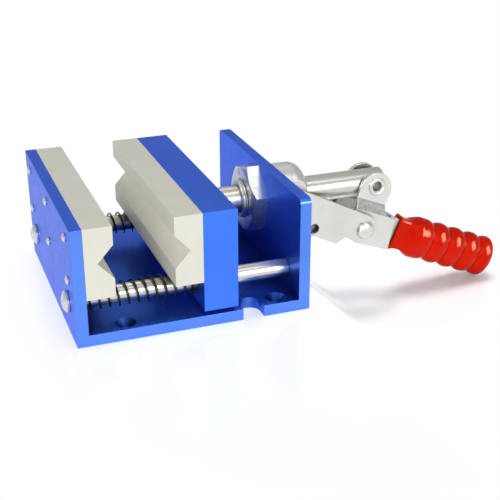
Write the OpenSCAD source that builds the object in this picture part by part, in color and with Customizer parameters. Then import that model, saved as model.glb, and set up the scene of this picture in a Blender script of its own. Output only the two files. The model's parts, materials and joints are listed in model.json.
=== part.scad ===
// Bench clamp for a golf shaft: a U channel with two vee jaws, one fixed and one
// on a sprung slide that a push toggle with a lever handle drives.
// Millimetres. Origin at the middle of the channel's underside, +X towards the
// handle, +Y away from the front face, +Z up. The jaws stand open.

/* [Channel] */
// Length of the channel along the clamping direction
channel_w = 123; // [115:0.5:140]
// Depth of the channel along the jaws
channel_d = 127; // [120:0.5:150]
// Thickness of the channel's base
base_t = 6; // [5:0.1:7]
// Thickness of the two walls
wall_t = 6; // [4:0.1:8]
// Height of the walls from the underside
wall_h = 62; // [61.5:0.1:70]
// Radius of the upright corners of the handle-side wall
wall_corner_r = 3; // [1:0.1:6]
// Width of the open slots at the front and rear edges of the base
slot_w = 11.4; // [6:0.1:16]
// Length of each open slot, from the edge to the end of its round
slot_len = 12; // [9:0.1:20]
// Distance of the slots from the middle of the channel
slot_x = 30.4; // [26:0.1:34]
// Diameter of the bench screw holes
bench_hole_d = 5.5; // [4:0.1:7]
// Diameter of the countersinks at the top of those holes
bench_csk_d = 11; // [9:0.1:12]
// Distance between the two columns of bench screw holes
bench_pitch_x = 80.8; // [74:0.1:84]
// Shift of the hole pattern towards the handle
bench_shift_x = 4.9; // [0:0.1:6]
// Distance of the holes from the front and rear edges
bench_edge = 7.5; // [7:0.1:10]

/* [Jaws] */
// Thickness of each jaw
jaw_t = 14.6; // [12:0.1:16]
// Height of the jaws' undersides
jaw_foot_z = 24.8; // [24.5:0.1:26]
// Height of the jaws' tops
jaw_top_z = 62; // [60:0.1:68]
// Height of the vee groove's mouth
vee_open = 17.7; // [12:0.1:19]
// Depth of the vee groove
vee_depth = 8; // [4:0.1:9]
// Distance between the two jaw faces with the clamp open
jaw_gap = 30.2; // [29.6:0.1:34]

/* [Jaw screws] */
// Diameter of the jaw screws
jaw_screw_d = 3; // [2.5:0.1:4]
// Diameter of their pan heads
jaw_head_d = 4.6; // [4.2:0.1:8]
// Height of their pan heads
jaw_head_h = 1.6; // [1:0.1:3]
// Depth of the screws in the jaws
jaw_screw_bite = 9; // [6:0.1:11]
// Distance of the outer columns of jaw screws from the jaws' ends
jaw_screw_edge = 12.7; // [8:0.1:16]
// Distance between the two rows of jaw screws
jaw_screw_rise = 22.6; // [22:0.1:26]
// Distance of the rows' middle below the middle of the jaws
jaw_screw_drop = 0.6; // [0:0.1:2]

/* [Slide] */
// Thickness of the sliding block
block_t = 18.1; // [16:0.1:20]
// Gap between the block and the channel's base
block_lift = 2.5; // [1:0.1:3]
// Diameter of the guide rods
rod_d = 9.5; // [8:0.1:10]
// Distance of the guide rods from the front and rear edges
rod_edge = 18; // [16:0.1:20]
// Height of the guide rods
rod_z = 17.5; // [17.2:0.1:17.8]
// Outside diameter of the guide bushes
bush_d = 12.7; // [11.5:0.1:13]
// Diameter of the rod end screws
rod_screw_d = 5; // [4:0.1:6]
// Diameter of their pan heads
rod_head_d = 11.4; // [9:0.1:13]
// Height of their pan heads
rod_head_h = 3.6; // [2:0.1:5]
// Depth of these screws in the rods
rod_screw_bite = 12; // [8:0.1:20]

/* [Return springs] */
// Diameter of the spring wire
spring_wire = 1.1; // [0.9:0.05:1.3]
// Mean diameter of the coils
spring_mean_d = 12; // [11.9:0.1:12.2]
// Number of turns, with the closed turn at each end
spring_turns = 13; // [8:0.5:14]
// Gap between the closed end turns
spring_end_gap = 0.6; // [0.5:0.05:1]

/* [Plunger] */
// Height of the plunger's axis
axis_z = 41.2; // [41:0.1:43.5]
// Diameter of the plunger
plunger_d = 15.4; // [14:0.1:15.6]
// Length of the plunger behind its pin
plunger_tail = 7; // [5:0.1:9]
// Diameter of the stud that joins the plunger to the block
stud_d = 10; // [8:0.1:10]
// Depth of the stud in the block
stud_bite = 13.5; // [8:0.1:15]
// Depth of the stud in the plunger
stud_reach = 14; // [8:0.1:20]
// Jam nut, across its flats
jam_nut_af = 27; // [20:0.1:28]
// Jam nut, thickness
jam_nut_t = 5.8; // [4:0.1:7]

/* [Barrel] */
// Diameter of the barrel outside the wall
barrel_d = 34.6; // [33:0.1:36]
// Length of the barrel outside the wall
barrel_len = 21; // [20:0.1:23]
// Length of the foot under the barrel, between the links
foot_len = 28.5; // [26:0.1:29]
// Height of the foot's top below the plunger's axis
foot_top = 9.5; // [9:0.1:11]
// Height of the foot's underside below the plunger's axis
foot_drop = 24; // [22:0.1:26]
// Radius of the barrel's rear edge
barrel_round = 8; // [3:0.1:8.5]
// Diameter of the threaded shank through the wall
shank_d = 22; // [18:0.1:24]
// Length of the shank inside the wall
shank_reach = 11.3; // [9.5:0.1:13]
// Mounting nut, across its flats
mount_nut_af = 35; // [30:0.1:35.5]
// Mounting nut, thickness
mount_nut_t = 8.7; // [6:0.1:9]
// Turn of the nut from having two of its flats level, in degrees
mount_nut_turn = 16.7; // [0:0.1:60]
// Diameter of the two spanner dimples in the nut
dimple_d = 2.4; // [1:0.1:2.6]
// Depth of the dimples
dimple_depth = 1.5; // [0.5:0.1:3]
// Diameter of the trunnion pins that carry the links
trunnion_d = 8; // [6:0.1:8.5]
// Diameter of the trunnion heads
trunnion_head_d = 12; // [10:0.1:14]
// Thickness of the trunnion heads
trunnion_head_t = 1.8; // [1:0.1:3]
// Distance of the trunnions from the wall
trunnion_x = 9.3; // [9.2:0.1:10.2]
// Height of the trunnions below the plunger's axis
trunnion_drop = 0.9; // [0:0.1:2]

/* [Handle] */
// Distance from the trunnions to the plunger's pin with the clamp open
pin_span = 55.2; // [55:0.1:55.8]
// Direction of the handle with the clamp open, in degrees from level
handle_angle = -22.5; // [-24:0.1:-21]
// Plunger pin from the link pin, along the handle
crank_u = -0.5; // [-0.8:0.1:-0.2]
// Plunger pin from the link pin, square to the handle
crank_v = 25.3; // [25:0.1:25.5]
// Thickness of the pressed handle plates
plate_t = 2.5; // [2:0.1:2.8]
// Outward set of the plates below the ears
joggle = 2.4; // [2.2:0.1:3]
// Height of the upper bend line of that set above the link pin
joggle_hi = 16.3; // [15.5:0.1:17]
// Height of its lower bend line
joggle_lo = 10.3; // [10.2:0.1:11]
// Radius of the ears
ear_r = 10; // [9:0.1:10.5]
// Distance of the ear's centre below the plunger pin
ear_drop = 1.9; // [0:0.1:3]
// Radius of the lobe round the link pin
lobe_r = 9.6; // [9:0.1:10.5]
// Height of the neck's foot above the link pin
neck_foot = 10; // [6:0.1:12]
// Inward lean of the neck's rear edge at its foot
neck_lean = 1.5; // [0.5:0.1:2]
// Radius of the notch between the neck and the tang
notch_r = 6.2; // [4:0.1:7]
// Height of the notch's floor above the link pin
notch_v = 10.1; // [9.8:0.1:10.2]
// Distance from the link pin to the bend where the plates turn inwards
bend_u = 18.6; // [18:0.1:19]
// Length along the handle over which they come together
bend_run = 6.2; // [5.5:0.1:6.4]
// Lean of that bend line, in degrees
bend_lean = 10; // [0:0.5:12]
// Half height of the tang at the grip's mouth
tang_h = 8.6; // [8:0.1:8.8]
// Half height of the tang deep in the grip
tang_core_h = 6.5; // [5:0.1:7]
// Length of the tang in the grip
tang_len = 58; // [40:0.5:62]
// Diameter of the hollow rivet at the plunger pin
ear_rivet_d = 7; // [5:0.1:7.4]
// Bore of the hollow rivet
ear_rivet_bore = 4.4; // [3:0.1:4.6]
// Diameter of its flared ends
ear_flare_d = 10.4; // [9:0.1:12]
// Thickness of its flared ends
ear_flare_t = 1; // [0.6:0.1:1.5]

/* [Grip] */
// Distance of the grip's mouth from the link pin
grip_start = 29; // [28.8:0.1:31]
// Length of the grip
grip_len = 74; // [72:0.1:80]
// Height of the grip's middle line above the link pin
grip_mid = 0.2; // [0:0.1:0.8]
// Length of the plain sleeve at the mouth
grip_sleeve = 6.5; // [5:0.1:8]
// Distance from the mouth to the end of the sleeve's rise to the first swell
rise_end = 15.5; // [13:0.1:17]
// Distance of the first swell's crest from the mouth
first_crest = 19.5; // [18:0.1:21]
// Length of the round tip past the last crest
tip_len = 6.5; // [5:0.1:8]
// Number of finger swells
swell_count = 5; // [3:1:7]
// Half height of the grip at a swell
swell_half_h = 12.9; // [12:0.1:14]
// Half width of the grip at a swell
swell_half_w = 9.6; // [9:0.1:11]
// Depth of the valleys between the swells
valley_depth = 2.2; // [0.8:0.1:2.4]
// Half height of the sleeve at the mouth
sleeve_half_h = 9.7; // [9.5:0.1:11]
// Half width of the sleeve at the mouth
sleeve_half_w = 4.6; // [4.4:0.1:6]
// Flare of the lip at the mouth, above and below
lip_flare = 1.1; // [0:0.1:2]
// Length of the flared lip
lip_len = 4; // [2:0.1:4.5]

/* [Links] */
// Thickness of the link plates
link_t = 2.8; // [2:0.1:3.5]
// Radius of the link round the trunnion
link_hub_r = 8.8; // [8:0.1:8.9]
// Radius of the link's round end
link_end_r = 8.6; // [8:0.1:9]
// Distance of that end's centre from the link pin, towards the trunnion
link_end_in = 1.9; // [0:0.1:2.5]
// Depth of the link's lower wing
wing_drop = 13.3; // [12.5:0.1:14]
// Distance of the wing's rounded corner from the trunnion
wing_x = 16.5; // [15:0.1:17]
// Radius of that corner
wing_corner_r = 4; // [2:0.1:5]
// Distance of the wing's handle-side end from the link pin
wing_back = 13.9; // [13:0.1:15]
// Distance of the notch beside the wing from the link pin
wing_notch = 10.2; // [9.5:0.1:11]
// Depth of that notch's floor below the link's middle line
wing_notch_v = 8; // [7.5:0.1:8.5]
// Diameter of the round hole in the wing
wing_hole_d = 6; // [4:0.1:6.5]
// Distance of that hole from the trunnion, along the link
wing_hole_x = 19.9; // [18.5:0.1:21]
// Height of the hole's lower edge above the wing's
wing_hole_lift = 0.9; // [0.8:0.1:2]
// Diameter of the link rivets
link_rivet_d = 7; // [5:0.1:8]
// Diameter of their domed heads
link_head_d = 11; // [9:0.1:13]
// Height of their domed heads
link_head_h = 3; // [2:0.1:4]

/* [Fits] */
// Radial clearance of a running pin, rod or plunger
run_gap = 0.05; // [0.02:0.01:0.1]
// Radial clearance of a screw or seat in its hole
seat_gap = 0.05; // [0.02:0.01:0.15]
// Radial clearance of a screw through a plain hole
pass_gap = 0.25; // [0.1:0.05:0.4]
// Gap between plates that pass each other
side_gap = 0.3; // [0.25:0.01:0.4]

/* [Hidden] */
$fn = 64;
// Overlap of a cutter past the face that it cuts
bite = 0.5;
// Nut chamfer: how far its ring lies inside the flats, and its slope
nut_face_in = 0.4;
nut_chamfer = 30;
// Straight rim of a pan head and of a domed rivet head, as a share of its height
pan_rim = 0.35;
dome_rim = 0.25;

// Places along X
wall_in_l = -channel_w / 2 + wall_t;
wall_in_r = channel_w / 2 - wall_t;
wall_out_r = channel_w / 2;
fixed_face_x = wall_in_l + jaw_t;
moving_face_x = fixed_face_x + jaw_gap;
block_x = moving_face_x + jaw_t;
block_back_x = block_x + block_t;
shank_x = wall_in_r - shank_reach;
plunger_x = block_back_x + jam_nut_t;

// Distances across the channel's depth
rod_pitch = channel_d - 2 * rod_edge;
jaw_screw_span = channel_d - 2 * jaw_screw_edge;

// Heights of the vee, the jaw screw rows and the block's underside
jaw_mid_z = (jaw_foot_z + jaw_top_z) / 2;
screw_mid_z = jaw_mid_z - jaw_screw_drop;
block_z = base_t + block_lift;

// Linkage pivots in the XZ plane: trunnion, plunger pin and link pin
pivot_a = [wall_out_r + trunnion_x, axis_z - trunnion_drop];
pivot_c = [pivot_a.x + pin_span, axis_z];
pivot_b = pivot_c - turned([crank_u, crank_v], handle_angle);
link_len = norm(pivot_b - pivot_a);
crank_len = norm(pivot_c - pivot_b);
link_angle = atan2(pivot_b.y - pivot_a.y, pivot_b.x - pivot_a.x);
crank_angle = atan2(pivot_b.y - pivot_c.y, pivot_b.x - pivot_c.x);

// Locked, the three pivots stand in line with the plunger pin in the middle
lock_span = link_len - crank_len;
lock_angle = asin((pivot_c.y - pivot_a.y) / lock_span);
stroke = pin_span - lock_span * cos(lock_angle);

// Plate layers outward from the plunger
ear_in = plunger_d / 2 + side_gap;
ear_out = ear_in + plate_t;
low_in = ear_in + joggle;
low_out = low_in + plate_t;
link_in = low_out + side_gap;
link_out = link_in + link_t;
flat_half = link_in - side_gap;

echo(stroke = stroke, handle_turn = lock_angle - crank_angle, link_turn = lock_angle - link_angle);
echo(pivot_a = pivot_a, pivot_b = pivot_b, pivot_c = pivot_c);

// A plane vector turned by an angle
function turned(p, a) = [p.x * cos(a) - p.y * sin(a), p.x * sin(a) + p.y * cos(a)];

// Points of an arc, from one angle to another
function arc(r, from, to, steps) =
    [for (i = [0:steps]) let(a = from + (to - from) * i / steps) r * [cos(a), sin(a)]];

// Children drawn along Z are laid along +X from a point
module along_x(x, y, z) {
    translate([x, y, z])
        rotate([0, 90, 0])
            children();
}

// Children drawn along Z are laid along +Y from a point
module along_y(x, y, z) {
    translate([x, y, z])
        rotate([-90, 0, 0])
            children();
}

// A plane shape in XZ thickened along Y between two places
module slab(from_y, to_y) {
    translate([0, to_y, 0])
        rotate([90, 0, 0])
            linear_extrude(to_y - from_y)
                children();
}

// The same piece at the front and the rear
module both_sides() {
    children();
    mirror([0, 1, 0])
        children();
}

// Domed screw or rivet head on the plane z = 0
module domed_head(d, h, rim) {
    crown = h - rim;
    sphere_r = (d * d / 4 + crown * crown) / (2 * crown);
    half = asin(d / 2 / sphere_r);
    dome = [for (p = arc(sphere_r, 90 - half, 90, 6)) p + [0, h - sphere_r]];
    rotate_extrude()
        polygon(concat([[0, 0], [d / 2, 0]], dome));
}

// Hex nut on the plane z = 0, corners along Y, chamfered on its lower face
module hex_nut(af, t, bore) {
    corner_r = af / 2 / cos(30);
    face_r = af / 2 - nut_face_in;
    difference() {
        intersection() {
            rotate([0, 0, 90])
                cylinder(r = corner_r, h = t, $fn = 6);
            cylinder(r1 = face_r, r2 = face_r + t / tan(nut_chamfer), h = t);
        }
        translate([0, 0, -bite])
            cylinder(d = bore, h = t + 2 * bite);
    }
}

// Jaw screw places as y and z pairs
function jaw_screw_spots(columns) = [
    for (y = columns, z = [-1, 1])
        [y * jaw_screw_span / 2, screw_mid_z + z * jaw_screw_rise / 2]
];

// Pan head screw with its head on the plane z = 0 and its shank below
module screw(d, head_d, head_h, len) {
    domed_head(head_d, head_h, head_h * pan_rim);
    translate([0, 0, -len])
        cylinder(d = d, h = len + bite);
}

// Open slot in the base, from the front edge inwards
module edge_slot() {
    translate([slot_x, -channel_d / 2 + slot_len - slot_w / 2, -bite])
        cylinder(d = slot_w, h = base_t + 2 * bite);
    translate([slot_x - slot_w / 2, -channel_d / 2 - bite, -bite])
        cube([slot_w, slot_len - slot_w / 2 + bite, base_t + 2 * bite]);
}

// Bench screw holes with their countersinks
module bench_holes() {
    sink = (bench_csk_d - bench_hole_d) / 2;
    for (x = [-1, 1], y = [-1, 1])
        translate([bench_shift_x + x * bench_pitch_x / 2, y * (channel_d / 2 - bench_edge), 0]) {
            translate([0, 0, -bite])
                cylinder(d = bench_hole_d, h = base_t + 2 * bite);
            translate([0, 0, base_t - sink])
                cylinder(d1 = bench_hole_d, d2 = bench_csk_d + 2 * bite, h = sink + bite);
        }
}

// Upright wall with its two top corners rounded
module handle_wall() {
    r = wall_corner_r;
    rotate([90, 0, 90])
        linear_extrude(wall_t)
            union() {
                translate([-channel_d / 2, 0])
                    square([channel_d, wall_h - r]);
                translate([-channel_d / 2 + r, 0])
                    square([channel_d - 2 * r, wall_h]);
                for (s = [-1, 1])
                    translate([s * (channel_d / 2 - r), wall_h - r])
                        circle(r);
            }
}

module base_channel() color("royalblue")
    difference() {
        union() {
            translate([-channel_w / 2, -channel_d / 2, 0])
                cube([channel_w, channel_d, base_t]);
            translate([-channel_w / 2, -channel_d / 2, 0])
                cube([wall_t, channel_d, wall_h]);
            translate([wall_in_r, 0, 0])
                handle_wall();
        }
        both_sides()
            edge_slot();
        bench_holes();
        for (p = jaw_screw_spots([-1, 0, 1]))
            along_x(-channel_w / 2 - bite, p.x, p.y)
                cylinder(d = jaw_screw_d + 2 * pass_gap, h = wall_t + 2 * bite);
        for (x = [-channel_w / 2 - bite, wall_in_r - bite], s = [-1, 1])
            along_x(x, s * rod_pitch / 2, rod_z)
                cylinder(d = rod_screw_d + 2 * pass_gap, h = wall_t + 2 * bite);
        along_x(wall_in_r - bite, 0, axis_z)
            cylinder(d = shank_d + 2 * seat_gap, h = wall_t + 2 * bite);
    }

// Vee jaw with its back on x = 0 and its face towards +X
module vee_jaw(columns) {
    vee = vee_open / 2;
    difference() {
        slab(-channel_d / 2, channel_d / 2)
            polygon([[0, jaw_foot_z], [jaw_t, jaw_foot_z], [jaw_t, jaw_mid_z - vee],
                [jaw_t - vee_depth, jaw_mid_z], [jaw_t, jaw_mid_z + vee], [jaw_t, jaw_top_z],
                [0, jaw_top_z]]);
        for (p = jaw_screw_spots(columns))
            along_x(-bite, p.x, p.y)
                cylinder(d = jaw_screw_d + 2 * seat_gap, h = jaw_screw_bite + bite + seat_gap);
    }
}

module fixed_jaw() color("ivory")
    translate([wall_in_l, 0, 0])
        vee_jaw([-1, 0, 1]);

module moving_jaw() color("ivory")
    translate([block_x, 0, 0])
        mirror([1, 0, 0])
            vee_jaw([-1, 1]);

module fixed_jaw_screws() color("silver")
    for (p = jaw_screw_spots([-1, 0, 1]))
        translate([-channel_w / 2, p.x, p.y])
            rotate([0, -90, 0])
                screw(jaw_screw_d, jaw_head_d, jaw_head_h, wall_t + jaw_screw_bite);

module moving_jaw_screws() color("silver")
    for (p = jaw_screw_spots([-1, 1]))
        along_x(block_back_x, p.x, p.y)
            screw(jaw_screw_d, jaw_head_d, jaw_head_h, block_t + jaw_screw_bite);

// Guide rod between the walls, tapped at both ends
module guide_rod(side) {
    hole = rod_screw_bite + seat_gap;
    difference() {
        along_x(wall_in_l, side * rod_pitch / 2, rod_z)
            cylinder(d = rod_d, h = wall_in_r - wall_in_l);
        for (x = [wall_in_l - bite, wall_in_r - hole])
            along_x(x, side * rod_pitch / 2, rod_z)
                cylinder(d = rod_screw_d + 2 * seat_gap, h = hole + bite);
    }
}

module guide_rod_front() color("gainsboro")
    guide_rod(-1);

module guide_rod_rear() color("gainsboro")
    guide_rod(1);

module rod_screws_left() color("silver")
    for (s = [-1, 1])
        translate([-channel_w / 2, s * rod_pitch / 2, rod_z])
            rotate([0, -90, 0])
                screw(rod_screw_d, rod_head_d, rod_head_h, wall_t + rod_screw_bite);

module rod_screws_right() color("silver")
    for (s = [-1, 1])
        along_x(wall_out_r, s * rod_pitch / 2, rod_z)
            screw(rod_screw_d, rod_head_d, rod_head_h, wall_t + rod_screw_bite);

// Helix of the return spring: one closed turn at each end, even pitch between
rings_per_turn = 8;
wire_sides = 6;
spring_r = spring_mean_d / 2;
spring_rings = round(spring_turns * rings_per_turn);
spring_len = block_x - wall_in_l - 2 * side_gap - spring_wire;
end_pitch = spring_wire + spring_end_gap;
mid_pitch = (spring_len - 2 * end_pitch) / (spring_turns - 2);

// Advance along the axis after a number of turns
function spring_x(t) =
    t < 1 ? t * end_pitch :
    t > spring_turns - 1 ? spring_len - (spring_turns - t) * end_pitch :
    end_pitch + (t - 1) * mid_pitch;

function spring_centre(i) =
    let(t = i / rings_per_turn, a = 360 * t)
        [spring_x(t), spring_r * cos(a), spring_r * sin(a)];

// One ring of points round the wire
function spring_ring(i) =
    let(a = 360 * i / rings_per_turn,
        out = [0, cos(a), sin(a)],
        ahead = spring_centre(min(i + 1, spring_rings)) - spring_centre(max(i - 1, 0)),
        along = ahead / norm(ahead),
        flat = cross(along, out),
        up = cross(flat, along) / norm(cross(flat, along)),
        side = flat / norm(flat))
        [for (k = [0:wire_sides - 1])
            spring_centre(i) + spring_wire / 2
                * (cos(360 * k / wire_sides) * up + sin(360 * k / wire_sides) * side)];

// Triangles of a tube of rings with closed ends
function tube_faces(rings, sides) = concat(
    [for (i = [0:rings - 2], k = [0:sides - 1], half = [0, 1])
        let(n = (k + 1) % sides, a = i * sides, b = a + sides)
            half == 0 ? [a + k, b + k, b + n] : [a + k, b + n, a + n]],
    [for (k = [1:sides - 2]) [0, k, k + 1]],
    [for (k = [1:sides - 2], a = (rings - 1) * sides) [a, a + k + 1, a + k]]);

spring_points = [for (i = [0:spring_rings], p = spring_ring(i)) p];

// Least gap of the wire to itself, on the points of its middle line
least_gap = min([for (i = [0:spring_rings - 5], j = [i + 5:min(i + 12, spring_rings)])
    norm(spring_centre(j) - spring_centre(i)) - spring_wire]);
echo(spring_least_gap = least_gap);

module return_spring(side)
    translate([wall_in_l + side_gap + spring_wire / 2, side * rod_pitch / 2, rod_z])
        polyhedron(spring_points, tube_faces(spring_rings + 1, wire_sides));

module return_spring_front() color("dimgray")
    return_spring(-1);

module return_spring_rear() color("dimgray")
    return_spring(1);

// Turned barrel: threaded shank, rounded body with side flats, foot between the links
module clamp_barrel() color("lightgray") {
    bore_r = plunger_d / 2 + run_gap;
    cut = 1;
    shoulder = wall_out_r - shank_x;
    total = shoulder + barrel_len;
    edge = [for (p = arc(barrel_round, 0, 90, 12))
        [barrel_d / 2 - barrel_round + p.x, total - barrel_round + p.y]];
    foot_half = flat_half - side_gap;
    difference() {
        union() {
            difference() {
                along_x(shank_x, 0, axis_z)
                    rotate_extrude()
                        polygon(concat([[0, 0], [shank_d / 2 - cut, 0], [shank_d / 2, cut],
                            [shank_d / 2, shoulder], [barrel_d / 2, shoulder]], edge, [[0, total]]));
                both_sides()
                    translate([wall_out_r - bite, flat_half, axis_z - barrel_d])
                        cube([barrel_len + 2 * bite, barrel_d, 2 * barrel_d]);
            }
            translate([wall_out_r, -foot_half, axis_z - foot_drop])
                cube([foot_len, 2 * foot_half, foot_drop - foot_top]);
        }
        along_x(shank_x - bite, 0, axis_z)
            cylinder(r = bore_r, h = total + 2 * bite);
        both_sides()
            along_y(pivot_a.x, bore_r + bite, pivot_a.y)
                cylinder(d = trunnion_d + 2 * seat_gap, h = barrel_d);
    }
}

// Nut on the shank, against the wall's inner face, with two spanner dimples
module mounting_nut() color("lightgray")
    along_x(wall_in_r - mount_nut_t, 0, axis_z)
        rotate([0, 0, -mount_nut_turn])
            difference() {
                hex_nut(mount_nut_af, mount_nut_t, shank_d + 2 * seat_gap);
                for (s = [-1, 1])
                    translate([s * (shank_d + mount_nut_af) / 4, 0, -bite])
                        cylinder(d = dimple_d, h = dimple_depth + bite);
            }

// Headed pins in the barrel's flats that the links turn on
module trunnion_pins() color("silver")
    both_sides() {
        root = plunger_d / 2 + run_gap + 2 * bite;
        head = link_out + side_gap;
        along_y(pivot_a.x, root, pivot_a.y)
            cylinder(d = trunnion_d, h = head - root + bite);
        along_y(pivot_a.x, head, pivot_a.y)
            domed_head(trunnion_head_d, trunnion_head_t, trunnion_head_t / 2);
    }

module slide_block() color("royalblue")
    difference() {
        translate([block_x, -channel_d / 2, block_z])
            cube([block_t, channel_d, jaw_top_z - block_z]);
        for (s = [-1, 1])
            along_x(block_x - bite, s * rod_pitch / 2, rod_z)
                cylinder(d = bush_d + 2 * seat_gap, h = block_t + 2 * bite);
        along_x(block_back_x - stud_bite - seat_gap, 0, axis_z)
            cylinder(d = stud_d + 2 * seat_gap, h = stud_bite + bite);
        for (p = jaw_screw_spots([-1, 1]))
            along_x(block_x - bite, p.x, p.y)
                cylinder(d = jaw_screw_d + 2 * pass_gap, h = block_t + 2 * bite);
    }

// Plain bush in the block, running on a guide rod
module guide_bush(side)
    along_x(block_x, side * rod_pitch / 2, rod_z)
        difference() {
            cylinder(d = bush_d, h = block_t);
            translate([0, 0, -bite])
                cylinder(d = rod_d + 2 * run_gap, h = block_t + 2 * bite);
        }

module guide_bush_front() color("darkgoldenrod")
    guide_bush(-1);

module guide_bush_rear() color("darkgoldenrod")
    guide_bush(1);

// Plunger with chamfered ends, a tapped nose and a cross hole for its pin
module plunger() color("silver") {
    len = pivot_c.x + plunger_tail - plunger_x;
    r = plunger_d / 2;
    cut = 1;
    difference() {
        along_x(plunger_x, 0, axis_z)
            rotate_extrude()
                polygon([[0, 0], [r - cut, 0], [r, cut], [r, len - cut], [r - cut, len], [0, len]]);
        along_x(plunger_x - bite, 0, axis_z)
            cylinder(d = stud_d + 2 * seat_gap, h = stud_reach + bite + seat_gap);
        along_y(pivot_c.x, -plunger_d, axis_z)
            cylinder(d = ear_rivet_d + 2 * run_gap, h = 2 * plunger_d);
    }
}

module plunger_stud() color("silver")
    along_x(block_back_x - stud_bite, 0, axis_z)
        cylinder(d = stud_d, h = stud_bite + plunger_x + stud_reach - block_back_x);

module jam_nut() color("silver")
    along_x(block_back_x + jam_nut_t, 0, axis_z)
        mirror([0, 0, 1])
            hex_nut(jam_nut_af, jam_nut_t, stud_d + 2 * seat_gap);

// Handle frame: u along the handle from the link pin, v square to it
module in_handle() {
    translate([pivot_b.x, 0, pivot_b.y])
        rotate([0, -handle_angle, 0])
            children();
}

// Edge of the tang in the grip, with an allowance, from its lower to its upper mouth corner
function tang_edge(more) =
    let(step_u = grip_start + grip_sleeve, end_u = grip_start + tang_len + more,
        high = tang_h + more, low = tang_core_h + more)
        [for (p = [[grip_start, -high], [step_u, -low], [end_u, -low],
            [end_u, low], [step_u, low], [grip_start, high]]) p + [0, grip_mid]];

// Side view of the handle plate as a thick blank: ear, neck, lobe and tang
module plate_blank() {
    ear_v = crank_v - ear_drop;
    rear = crank_u - ear_r;
    front = crank_u + ear_r;
    notch = [for (p = arc(notch_r, 270, 180, 8)) [front, notch_v] + [notch_r, notch_r] + p];
    along_y(crank_u, 0, ear_v)
        cylinder(r = ear_r, h = link_in);
    along_y(0, 0, 0)
        cylinder(r = lobe_r, h = link_in);
    slab(-bite, link_in)
        polygon(concat([[rear, ear_v], [rear + neck_lean, neck_foot], [-lobe_r, 0], [0, -lobe_r]],
            tang_edge(0), notch, [[front, ear_v]]));
}

// Space inside the set below the ears, out to a face of the plate at the ear and below it
module joggle_space(ear_y, low_y) {
    top = crank_v + 2 * ear_r;
    foot = -2 * lobe_r;
    translate([-2 * ear_r, 0, 0])
        rotate([90, 0, 90])
            linear_extrude(2 * ear_r + grip_start + 2 * tang_len)
                polygon([[-2 * bite, foot], [low_y, foot], [low_y, joggle_lo], [ear_y, joggle_hi],
                    [ear_y, top], [-2 * bite, top]]);
}

// Space inside the inward bend, out to a face of the plate: its start, and its level in the grip
module bend_space(start_u, level) {
    slope = bend_run / low_in;
    back = 4 * ear_r;
    far = 2 * tang_len;
    meet_u = start_u + (link_in - level) * slope;
    high = 2 * back;
    translate([bend_u, 0, grip_mid])
        rotate([0, -bend_lean, 0])
            translate([0, 0, -high])
                linear_extrude(2 * high)
                    polygon([[-back, link_in], [start_u, link_in], [meet_u, level], [far, level],
                        [far, -2 * bite], [-back, -2 * bite]]);
}

module handle_plate() {
    slope = bend_run / low_in;
    inner_start = -(link_in - low_in) * slope;
    outer_start = inner_start + plate_t * sqrt(1 + slope * slope);
    difference() {
        intersection() {
            plate_blank();
            joggle_space(ear_out, low_out);
            bend_space(outer_start, plate_t);
        }
        intersection() {
            joggle_space(ear_in, low_in);
            bend_space(inner_start, -2 * bite);
        }
        along_y(crank_u, 0, crank_v)
            cylinder(d = ear_rivet_d + 2 * seat_gap, h = link_in);
        along_y(0, 0, 0)
            cylinder(d = link_rivet_d + 2 * pass_gap, h = link_in);
    }
}

// Two pressed plates that come together in the grip
module handle_frame() color("lightgray")
    in_handle()
        both_sides()
            handle_plate();

// Flared hollow rivet through the ears and the plunger
module ear_rivet() color("silver")
    in_handle() {
        r = ear_rivet_d / 2;
        bore = ear_rivet_bore / 2;
        rim = ear_flare_d / 2;
        reach = ear_out + ear_flare_t;
        along_y(crank_u, 0, crank_v)
            rotate_extrude()
                polygon([[bore, -reach + ear_flare_t], [rim - 2 * ear_flare_t, -reach],
                    [rim - ear_flare_t / 2, -reach], [rim, -ear_out], [r, -ear_out], [r, ear_out],
                    [rim, ear_out], [rim - ear_flare_t / 2, reach], [rim - 2 * ear_flare_t, reach],
                    [bore, reach - ear_flare_t]]);
    }

// Grip: a flat sleeve that rises into finger swells and a round tip
grip_sides = 28;
lip_steps = 3;
rise_steps = 7;
swell_steps = 8;
tip_steps = 6;
swell_power = 2.8;
mouth_power = 6;
last_crest = grip_len - tip_len;
swell_pitch = (last_crest - first_crest) / (swell_count - 1);

// Radius of the swells' round backs
swell_r = (swell_pitch * swell_pitch / 4 + valley_depth * valley_depth) / (2 * valley_depth);

// Fall below the crests, along the grip from its mouth
function swell_fall(s) =
    let(t = max(0, min(last_crest - first_crest, s - first_crest)) / swell_pitch,
        off = swell_pitch * (t - round(t)))
        swell_r - sqrt(swell_r * swell_r - off * off);

// Flare of the lip, along the grip from its mouth
function lip_at(s) = lip_flare * pow(max(0, 1 - s / lip_len), 2);

// Share of the full section left at the tip
function tip_share(s) =
    let(q = (s - last_crest) / tip_len)
        q <= 0 ? 1 : sqrt(max(0, 1 - q * q));

// Smooth rise from 0 at the sleeve to 1 at the first swell
function rise_at(s) =
    let(t = max(0, min(1, (s - grip_sleeve) / (rise_end - grip_sleeve))))
        t * t * (3 - 2 * t);

// Corner sharpness of the section: boxy at the mouth, rounder at the swells
function grip_power(s) = mouth_power + (swell_power - mouth_power) * rise_at(s);

function grip_half(s, sleeve, swell) =
    (sleeve + (swell - sleeve) * rise_at(s) - swell_fall(s)) * tip_share(s);

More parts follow.
